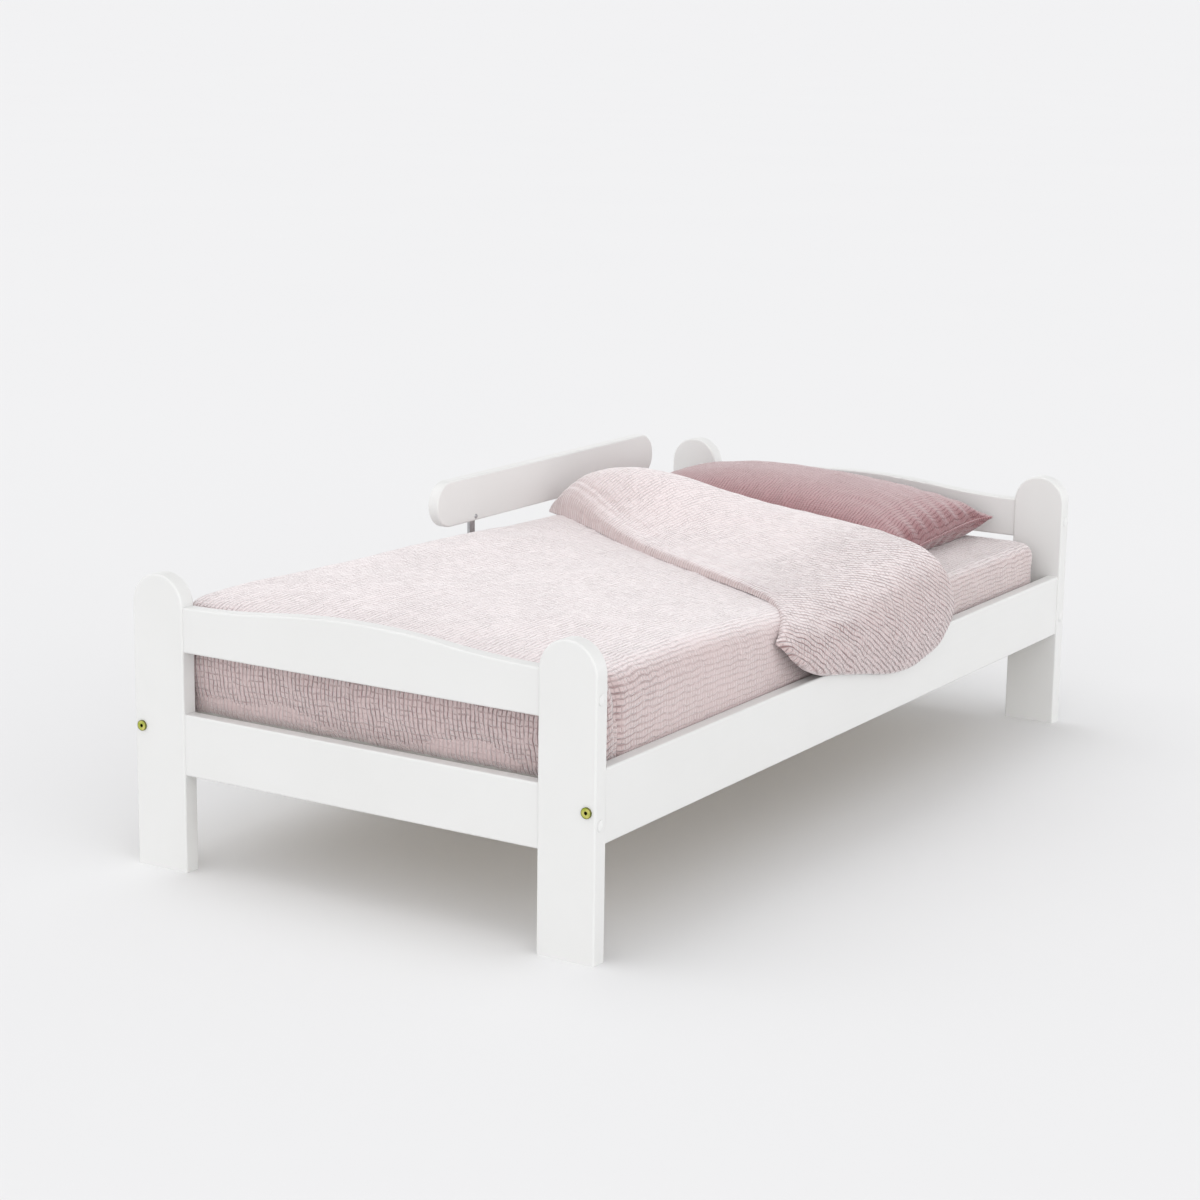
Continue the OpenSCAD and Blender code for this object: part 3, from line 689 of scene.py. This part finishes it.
def makeDuvetFlat(form):
    reachEdge = form["edgeR"] * math.pi / 2 - form["edgeR"]
    deep = 0.345 - form["edgeR"] - form["sideZ"]
    walk = reachEdge + deep + form["curlR"] * 1.2
    xs = np.linspace(-form["halfW"] - walk, form["halfW"] + walk,
                     int(2 * (form["halfW"] + walk) / form["step"]))
    length = form["headY"] - form["footY"] + walk
    # rows close up towards the head end, which is rounded
    headBand = 0.03 / length
    rows = np.concatenate([evenSteps(length - 0.03, form["step"]) * (1 - headBand),
                           1 - headBand * np.array([0.7, 0.45, 0.25, 0.1, 0])])
    ys = form["footY"] - walk + length * rows
    plan = np.stack(np.meshgrid(xs, ys, indexing="ij"), -1)
    innerX = form["halfW"] - form["cornerR"]
    plan = roundCorners(plan, innerX, form["footY"] + form["cornerR"], 9.0)
    toFoot = smooth(1.4 * (-plan[..., 1] + form["footY"] + 0.02) / 0.04)
    hem = follow(form["footHem"], np.clip(plan[..., 0], -0.36, 0.36))
    deep = deep - (hem - form["sideZ"]) * toFoot
    flat, drop, outward, walked = overBox(plan, form["halfW"], form["footY"], 9.0, form["cornerR"],
                                          form["edgeR"], deep, form["curlR"])
    rise = duvetTopZ(flat[..., 0], flat[..., 1]) - 0.345
    hold = 1 - smooth(drop / 0.11)
    turned = np.degrees(np.arctan2(np.maximum(-outward[..., 1], 0), np.abs(outward[..., 0]) + 1e-9))
    side = smooth((walked - 0.5 * form["cornerR"]) / 0.03)
    # tucked corner: one deep pleat and a softer one beside it
    pleat = -0.013 * np.exp(-((turned - 30) / 6.0) ** 2) - 0.006 * np.exp(-((turned - 62) / 8.0) ** 2)
    flat = flat + outward * (pleat * side)[..., None]
    foldY, foldW, foldDepth = form["fold"]
    onRight = (outward[..., 0] > 0.7) * smooth((walked - 0.3 * form["cornerR"]) / 0.04)
    crease = -foldDepth * np.exp(-((plan[..., 1] - foldY) / foldW) ** 2)
    flat = flat + outward * (crease * onRight)[..., None]
    # the foot end bulges between its tucked edges
    bulge = 0.012 * (1 - smooth(np.abs(drop - 0.062) / 0.062)) - 0.012
    flat[..., 1] -= bulge * smooth(-outward[..., 1]) * side
    topSide = np.concatenate([flat, (0.345 - drop + rise * hold)[..., None]], -1)
    inFlat, inDrop, _, _ = overBox(plan, mattressHalfW + 0.0035, -mattressHalfL - 0.0045, 9.0, 0.050, 0.018,
                                   deep + form["under"] - 0.345 + form["edgeR"] - 0.018, 0.010)
    under = np.concatenate([inFlat, (form["under"] - inDrop)[..., None]], -1)
    # the two layers meet at the hem and round off at the head end
    fromHead = form["headY"] - plan[..., 1]
    shut = 1 - roundOff(fromHead, 0.022)
    middle = (topSide + under) / 2
    topSide = topSide + (middle - topSide) * shut[..., None]
    under = under + (middle - under) * shut[..., None]
    cloth = np.concatenate([plan, np.zeros(plan.shape[:2] + (1,))], -1)
    return closedShell("duvet_flat", topSide, under, cloth, palePink)


turnedBack = {
    "step": 0.009,
    # line over which the flap lies: across the bed, over the right rail and down outside it
    "line": [(-0.350, 0.0), (0.300, 0.0), (0.325, -0.002), (0.350, -0.012), (0.368, -0.034), (0.3785, -0.062),
             (0.3800, -0.090), (0.3800, -0.150)],
    # free edge of the flap across the bed, x to y
    "freeEdge": [(-0.350, 0.262), (-0.185, 0.159), (-0.035, 0.068), (0.105, -0.016), (0.213, -0.080),
                 (0.290, -0.135), (0.335, -0.188), (0.365, -0.224), (0.380, -0.238)],
    # fold at the head end
    "fold": [(-0.350, 0.318), (-0.20, 0.322), (0.10, 0.320), (0.25, 0.310), (0.345, 0.294), (0.380, 0.286)],
    # bottom of the part that hangs outside the rail, y to z
    "hem": [(-0.240, 0.322), (-0.226, 0.300), (-0.200, 0.280), (-0.150, 0.260), (-0.050, 0.242),
            (0.069, 0.219), (0.144, 0.214), (0.230, 0.230), (0.286, 0.268)],
    # height of the fold's crest above the floor, across the bed
    "crest": [(-0.350, 0.384), (-0.320, 0.402), (-0.280, 0.424), (-0.235, 0.438), (-0.177, 0.444),
              (-0.10, 0.438), (-0.02, 0.421), (0.06, 0.409), (0.15, 0.400), (0.25, 0.390), (0.31, 0.378),
              (0.35, 0.366), (0.38, 0.366)],
    "edgeT": 0.012,
    "hangT": 0.010,
    "leftR": 0.075,
}


def coons(topEdge, bottomEdge, leftEdge, rightEdge, across, along):
    # patch between four edges; each is a function of 0..1 that gives (walk, y)
    u, s = np.meshgrid(across, along, indexing="ij")
    top, bottom = topEdge(across), bottomEdge(across)
    left, right = leftEdge(along), rightEdge(along)
    ruled = top[:, None] * (1 - s)[..., None] + bottom[:, None] * s[..., None]
    ruled = ruled + left[None] * (1 - u)[..., None] + right[None] * u[..., None]
    corners = (top[0] * ((1 - u) * (1 - s))[..., None] + top[-1] * (u * (1 - s))[..., None]
               + bottom[0] * ((1 - u) * s)[..., None] + bottom[-1] * (u * s)[..., None])
    return ruled - corners


def walkAlong(points, share):
    # place at a share of the way along a line of points
    points = np.array(points, float)
    far = np.concatenate([[0], np.cumsum(np.linalg.norm(np.diff(points, axis=0), axis=1))])
    at = np.asarray(share) * far[-1]
    return np.stack([np.interp(at, far, points[:, 0]), np.interp(at, far, points[:, 1])], -1)


def makeTurnedBack(form):
    base = np.array(form["line"])
    far = np.concatenate([[0], np.cumsum(np.linalg.norm(np.diff(base, axis=0), axis=1))])
    fine = np.linspace(0, far[-1], 500)
    lineX = follow(np.stack([far, base[:, 0]], -1), fine, 0.02)
    lineZ = follow(np.stack([far, base[:, 1]], -1), fine, 0.02)
    overRail = 0.345

    def walkAtX(x):
        return np.interp(x, lineX[:430], fine[:430])

    def walkAtZ(z):
        return np.interp(-(np.asarray(z) - overRail), -lineZ, fine)

    foldPoints = [(walkAtX(x), y) for x, y in form["fold"][:-1]]
    foldPoints += [(walkAtZ(form["hem"][-1][1]), form["hem"][-1][0])]
    freePoints = [(walkAtX(x), y) for x, y in form["freeEdge"][:-2]]
    freePoints += [(walkAtZ(form["hem"][0][1]), form["hem"][0][0])]
    hemPoints = [(walkAtZ(z), y) for y, z in form["hem"]][::-1]
    sidePoints = [foldPoints[0], freePoints[0]]
    length = hemPoints[4][0]
    width = 0.34
    across = edgeSteps(length, form["step"], 0.045)
    along = edgeSteps(width, form["step"], 0.035)

    def softLine(points):
        # the same line with its corners eased
        line = walkAlong(points, np.linspace(0, 1, 300))
        window = np.hanning(33)
        padded = np.pad(line, ((16, 16), (0, 0)), mode="reflect", reflect_type="odd")
        eased = np.stack([np.convolve(padded[:, k], window / window.sum(), "valid") for k in (0, 1)], -1)
        return lambda share: walkAlong(eased, share)

    plan = coons(softLine(foldPoints), softLine(freePoints), softLine(sidePoints), softLine(hemPoints),
                 across, along)
    walk, y = plan[..., 0], plan[..., 1]
    x = np.interp(walk, fine, lineX)
    level = 1 - smooth((x - 0.28) / 0.08)
    lieZ = duvetTopZ(np.clip(x, -0.34, 0.30), y)
    baseZ = overRail + np.interp(walk, fine, lineZ) + (lieZ - overRail) * level
    step = 1e-4
    tangentX = (np.interp(walk + step, fine, lineX) - np.interp(walk - step, fine, lineX))
    tangentZ = (np.interp(walk + step, fine, lineZ) - np.interp(walk - step, fine, lineZ))
    size = np.hypot(tangentX, tangentZ) + 1e-12
    normal = np.stack([-tangentZ / size, np.zeros_like(x), tangentX / size], -1)
    place = np.stack([x, y, baseZ], -1)
    # distances to the four edges, measured in the flat
    fromFold = np.linalg.norm(plan - plan[:, :1], axis=-1)
    fromFree = np.linalg.norm(plan - plan[:, -1:], axis=-1)
    fromLeft = np.linalg.norm(plan - plan[:1], axis=-1)
    fromHem = np.linalg.norm(plan - plan[-1:], axis=-1)
    crest = follow(form["crest"], np.clip(x, -0.35, 0.38), 0.03) - lieZ
    hang = smooth((walk - walkAtX(0.335)) / 0.05)
    slope = smooth(1 - (fromFold - 0.045) / (np.maximum(fromFold + fromFree, 0.06) * 0.92))
    lift = form["edgeT"] + (crest - form["edgeT"]) * slope
    lift = lift * (1 - hang) + (form["hangT"] + 0.006 * smooth(fromHem / 0.06)) * hang
    foldR = 0.020 + 0.026 * (1 - smooth((x + 0.1) / 0.4))
    edge = roundOff(fromFold, foldR * (1 - hang) + 0.008 * hang) * roundOff(fromFree, 0.011)
    edge = edge * roundOff(fromLeft, form["leftR"]) * roundOff(fromHem, 0.008)
    # stitched ridges beside the free edge
    ridges = 0.5 + 0.5 * np.cos(fromFree * 2 * math.pi / 0.010)
    band = -0.0022 * (1 - smooth((fromFree - 0.030) / 0.012)) * ridges
    band = band * roundOff(fromFree, 0.01) * (1 - 0.5 * hang)
    # the cloth gathers where the edge turns down over the rail
    turnX, turnY = walkAtX(0.352), -0.150
    bearing = np.arctan2(y - turnY, walk - turnX)
    farOff = np.hypot(y - turnY, walk - turnX)
    band = band + 0.0042 * np.exp(-((farOff - 0.065) / 0.045) ** 2) * np.sin(bearing * 15 + 1.0) * hang
    top = place + normal * (lift * edge + band)[..., None]
    wrap = (1 - smooth((fromFold - 0.012) / 0.020)) * (1 - smooth((x - 0.28) / 0.06))
    bottom = place + normal * (0.0015 * edge)[..., None]
    bottom[..., 2] -= wrap * (lieZ - mattressTopZ - 0.010)
    top[..., 2] -= (1 - roundOff(fromFold, foldR)) * wrap * (lieZ - mattressTopZ - 0.014)
    turn = math.radians(32)
    cloth = np.stack([walk * math.cos(turn) - y * math.sin(turn) + 3.0,
                      walk * math.sin(turn) + y * math.cos(turn), np.zeros_like(walk)], -1)
    return closedShell("duvet_turned_back", top, bottom, cloth, palePink)


def wrinkle(piece, amount, along=(1.0, 0.45, 1.0), shift=0.0):
    # gentle unevenness of filled cloth: broad swells, then puckers
    spots = coordinates(piece)
    normals = normalsOf(piece)
    stretch = spots * np.array(along)
    swell = noiseAt(stretch, 0.16, shift) * amount
    swell += noiseAt(stretch, 0.055, shift + 3.1) * amount * 0.45
    swell += noiseAt(stretch, 0.020, shift + 7.7) * amount * 0.22
    setCoordinates(piece, spots + normals * swell[:, None])


duvetFlat = makeDuvetFlat(duvetForm)
refine(duvetFlat)
wrinkle(duvetFlat, 0.0032)
duvetBack = makeTurnedBack(turnedBack)
refine(duvetBack)
wrinkle(duvetBack, 0.0030, along=(0.8, 0.8, 1.0), shift=5.0)


def duvetRelief(piece):
    # the gauze is drawn smoother down the sides than on top, and crumples most at the tucked foot end; this
    # also sets how dark the painted crease shade is
    spots, normals = coordinates(piece), normalsOf(piece)
    sideways = smooth(np.abs(normals[:, 0]) * 1.6 - 0.5)
    footward = smooth(-normals[:, 1] * 1.6 - 0.5)
    nearFoot = smooth((-spots[:, 1] - 0.45) / 0.22)
    return 0.52 - 0.05 * sideways + 0.38 * footward + 0.30 * nearFoot * sideways


setRelief(duvetFlat, duvetRelief(duvetFlat))
# relief on the turned-back top and the sheet also sets how dark their painted crease shade is
setRelief(duvetBack, 0.55 + 0.36 * smooth((coordinates(duvetBack)[:, 0] - 0.12) / 0.18))
setRelief(sheetCover, np.full(len(sheetCover.data.vertices), 0.62))
for piece in (duvetFlat, duvetBack):
    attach(piece, "duvet")
    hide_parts("duvet")
print("duvet made")


# pillow: a filled case, its two faces meeting at a piped seam

pillowForm = {
    "step": 0.0075,
    "seamZ": 0.333,
    "seamTilt": 0.011,
    # fullness across the bed, left end to right end, as a share of the height at the middle
    "across": [(-1.0, 0.0), (-0.985, 0.14), (-0.95, 0.28), (-0.894, 0.46), (-0.75, 0.74), (-0.613, 0.88),
               (-0.342, 0.99), (-0.07, 1.0), (0.26, 0.95), (0.58, 0.82), (0.78, 0.68), (0.904, 0.48),
               (0.96, 0.28), (1.0, 0.0)],
    "pinch": (0.010, 0.013),
    "gather": 0.0040,
    "pressure": 2.0,
    "frames": 12,
    "mostMove": 0.006,
}


def makePillow(form):
    low, high = np.array(pillowBox[0]), np.array(pillowBox[1])
    half, centre = (high - low)[:2] / 2, (high + low)[:2] / 2
    across = 2 * edgeSteps(2 * half[0], form["step"], 0.05) - 1
    along = 2 * edgeSteps(2 * half[1], form["step"], 0.05) - 1
    u, v = np.meshgrid(across, along, indexing="ij")
    # the sides draw in between the corners as the case fills
    x = centre[0] + u * (half[0] - form["pinch"][0] * (1 - v ** 4))
    y = centre[1] + v * (half[1] - form["pinch"][1] * (1 - u ** 4))
    fullness = np.interp(u, *np.array(form["across"]).T) * (1 - np.abs(v) ** 2.4) ** 0.46
    side = np.minimum((1 - np.abs(u)) * half[0], (1 - np.abs(v)) * half[1])
    nearSeam = np.exp(-side / 0.035) * smooth(side / 0.012)
    # gathers run in from the seams
    gathers = nearSeam * form["gather"] * (np.sin(x * 150 + 2 * np.sin(y * 30)) * (np.abs(v) > np.abs(u))
                                          + np.sin(y * 170 + 2.5 * np.sin(x * 35)) * (np.abs(u) >= np.abs(v)))
    seamZ = form["seamZ"] + form["seamTilt"] * v
    upper = seamZ + (high[2] - seamZ) * fullness + gathers
    lower = seamZ - (seamZ - low[2] - 0.0008) * np.clip(fullness * 2.6, 0, 1) + 0.3 * gathers
    seam = 0.0016
    top = np.stack([x, y, np.maximum(upper, seamZ + seam)], -1)
    bottom = np.stack([x, y, np.clip(lower, low[2] + 0.0006, seamZ - seam)], -1)
    cloth = np.stack([x, y, np.zeros_like(x)], -1)
    case = closedShell("pillow_case", top, bottom, cloth, mauve)
    return case, rimOf(*x.shape), x.size


def makePiping(case, rim, perSide, radius):
    # thin welt sewn into the seam all round the case
    spots = coordinates(case)
    path = (spots[rim] + spots[rim + perSide]) / 2
    step = np.linalg.norm(np.roll(path, -1, 0) - path, axis=1)
    far = np.concatenate([[0], np.cumsum(step)])
    even = np.linspace(0, far[-1], 420, endpoint=False)
    closed = np.concatenate([path, path[:1]])
    path = np.stack([np.interp(even, far, closed[:, k]) for k in range(3)], -1)
    ahead = np.roll(path, -1, 0) - np.roll(path, 1, 0)
    ahead /= np.linalg.norm(ahead, axis=1)[:, None]
    outward = np.cross(ahead, (0.0, 0.0, 1.0))
    outward /= np.linalg.norm(outward, axis=1)[:, None]
    upward = np.cross(outward, ahead)
    rings = []
    for k in range(8):
        turn = 2 * math.pi * k / 8
        rings.append(path + radius * (math.cos(turn) * outward + math.sin(turn) * upward))
    rings = np.stack(rings, 1)
    count = len(path)
    index = np.arange(count * 8).reshape(count, 8)
    ahead1, around = np.roll(index, -1, 0), np.roll(index, -1, 1)
    faces = np.stack([index, ahead1, np.roll(ahead1, -1, 1), around], -1).reshape(-1, 4)
    cloth = np.stack([np.repeat(even, 8), np.tile(np.arange(8) * 0.001, count), np.zeros(count * 8)], -1)
    piece = meshPiece("pillow_piping", rings.reshape(-1, 3), faces, cloth, mauve)
    fixNormals(piece)
    setRelief(piece, np.full(count * 8, 0.9))
    return piece


def pressFlat(piece, floorZ):
    # nothing may sink below what it lies on
    spots = coordinates(piece)
    spots[:, 2] = np.maximum(spots[:, 2], floorZ)
    setCoordinates(piece, spots)


pillow, pillowRim, pillowSide = makePillow(pillowForm)
puffUp(pillow, pillowForm["pressure"], pillowForm["frames"], pillowForm["mostMove"], shrink=-0.02, bend=0.3)
pillowPiping = makePiping(pillow, pillowRim, pillowSide, 0.0025)
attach(pillowPiping, "pillow")
refine(pillow)
wrinkle(pillow, 0.0016, along=(0.6, 1.0, 1.0), shift=9.0)
pressFlat(pillow, pillowBox[0].z)
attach(pillow, "pillow")
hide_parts("pillow")
print("pillow made")


# floor, light and camera

room = {"floorSize": 4000.0, "floorTone": 0.805, "sky": 0.577, "lowSky": 1.30, "rightSky": 1.08,
        "sunStrength": 0.74, "sunAngle": 60.0, "sunHeight": 60.0, "sunFrom": 285.0,
        "fillFrom": (0.74, -0.64, 0.20), "skyTone": (1.0, 1.0, 1.008)}


def makeFloor():
    bpy.ops.mesh.primitive_plane_add(size=room["floorSize"], location=(0, 0, cadLow.z))
    floor = bpy.context.object
    floor.name = "floor"
    material, tree, shader = newMaterial("paleFloor")
    place = add(tree, "TexCoord").outputs["Object"]
    cloud = add(tree, "TexNoise", {"Vector": place, "Scale": 0.8, "Detail": 2.0}).outputs[0]
    tone = room["floorTone"]
    colour = ramp(tree, cloud, [(0.3, (tone * 0.995, tone * 0.995, tone)), (0.7, (tone, tone, tone * 1.004))])
    plug(tree, shader, colour=colour, roughness=0.9)
    shader.inputs["Specular IOR Level"].default_value = 0.0
    floor.data.materials.append(material)


def makeLight():
    world = bpy.data.worlds.new("studio")
    world.use_nodes = True
    tree = world.node_tree
    # brighter low down all round and on the right, where the room reflects light back
    towards = add(tree, "TexCoord").outputs["Generated"]
    upward = maths(tree, "ABSOLUTE", add(tree, "SeparateXYZ", {0: towards}).outputs["Z"])
    lowDown = maths(tree, "POWER", maths(tree, "SUBTRACT", 1.0, upward), 3.0)
    facing = add(tree, "VectorMath", {0: towards, 1: room["fillFrom"]},
                 operation="DOT_PRODUCT").outputs["Value"]
    rightward = maths(tree, "POWER", maths(tree, "MAXIMUM", facing, 0.0), 2.0)
    glow = maths(tree, "MULTIPLY_ADD", lowDown, room["lowSky"], room["sky"])
    glow = maths(tree, "MULTIPLY_ADD", rightward, room["rightSky"], glow)
    tree.links.new(glow, tree.nodes["Background"].inputs["Strength"])
    tree.nodes["Background"].inputs["Color"].default_value = (*room["skyTone"], 1)
    scene.world = world
    light = bpy.data.lights.new("softKey", "SUN")
    light.energy = room["sunStrength"]
    light.angle = math.radians(room["sunAngle"])
    key = bpy.data.objects.new("softKey", light)
    bearing, height = math.radians(room["sunFrom"]), math.radians(room["sunHeight"])
    # bearing 0 is the foot end, 90 the right side, 270 the left
    toLight = Vector((math.sin(bearing) * math.cos(height), -math.cos(bearing) * math.cos(height),
                      math.sin(height)))
    key.rotation_euler = toLight.to_track_quat("Z", "Y").to_euler()
    scene.collection.objects.link(key)


def makeCamera():
    view = {"bearing": 32.188, "height": 12.486, "roll": 0.772, "lens": 82.84,
            "place": (2.1486, -3.5459, 1.2118)}
    data = bpy.data.cameras.new("camera")
    data.lens = view["lens"]
    data.sensor_width = 36
    data.clip_end = 10000
    camera = bpy.data.objects.new("camera", data)
    turn = (Matrix.Rotation(math.radians(view["bearing"]), 4, "Z")
            @ Matrix.Rotation(math.radians(90 - view["height"]), 4, "X")
            @ Matrix.Rotation(math.radians(view["roll"]), 4, "Z"))
    camera.matrix_world = Matrix.Translation(view["place"]) @ turn
    scene.collection.objects.link(camera)
    scene.camera = camera


makeFloor()
makeLight()
makeCamera()
scene.view_settings.view_transform = "Standard"
print("floor, light and camera set")

bpy.context.view_layer.update()
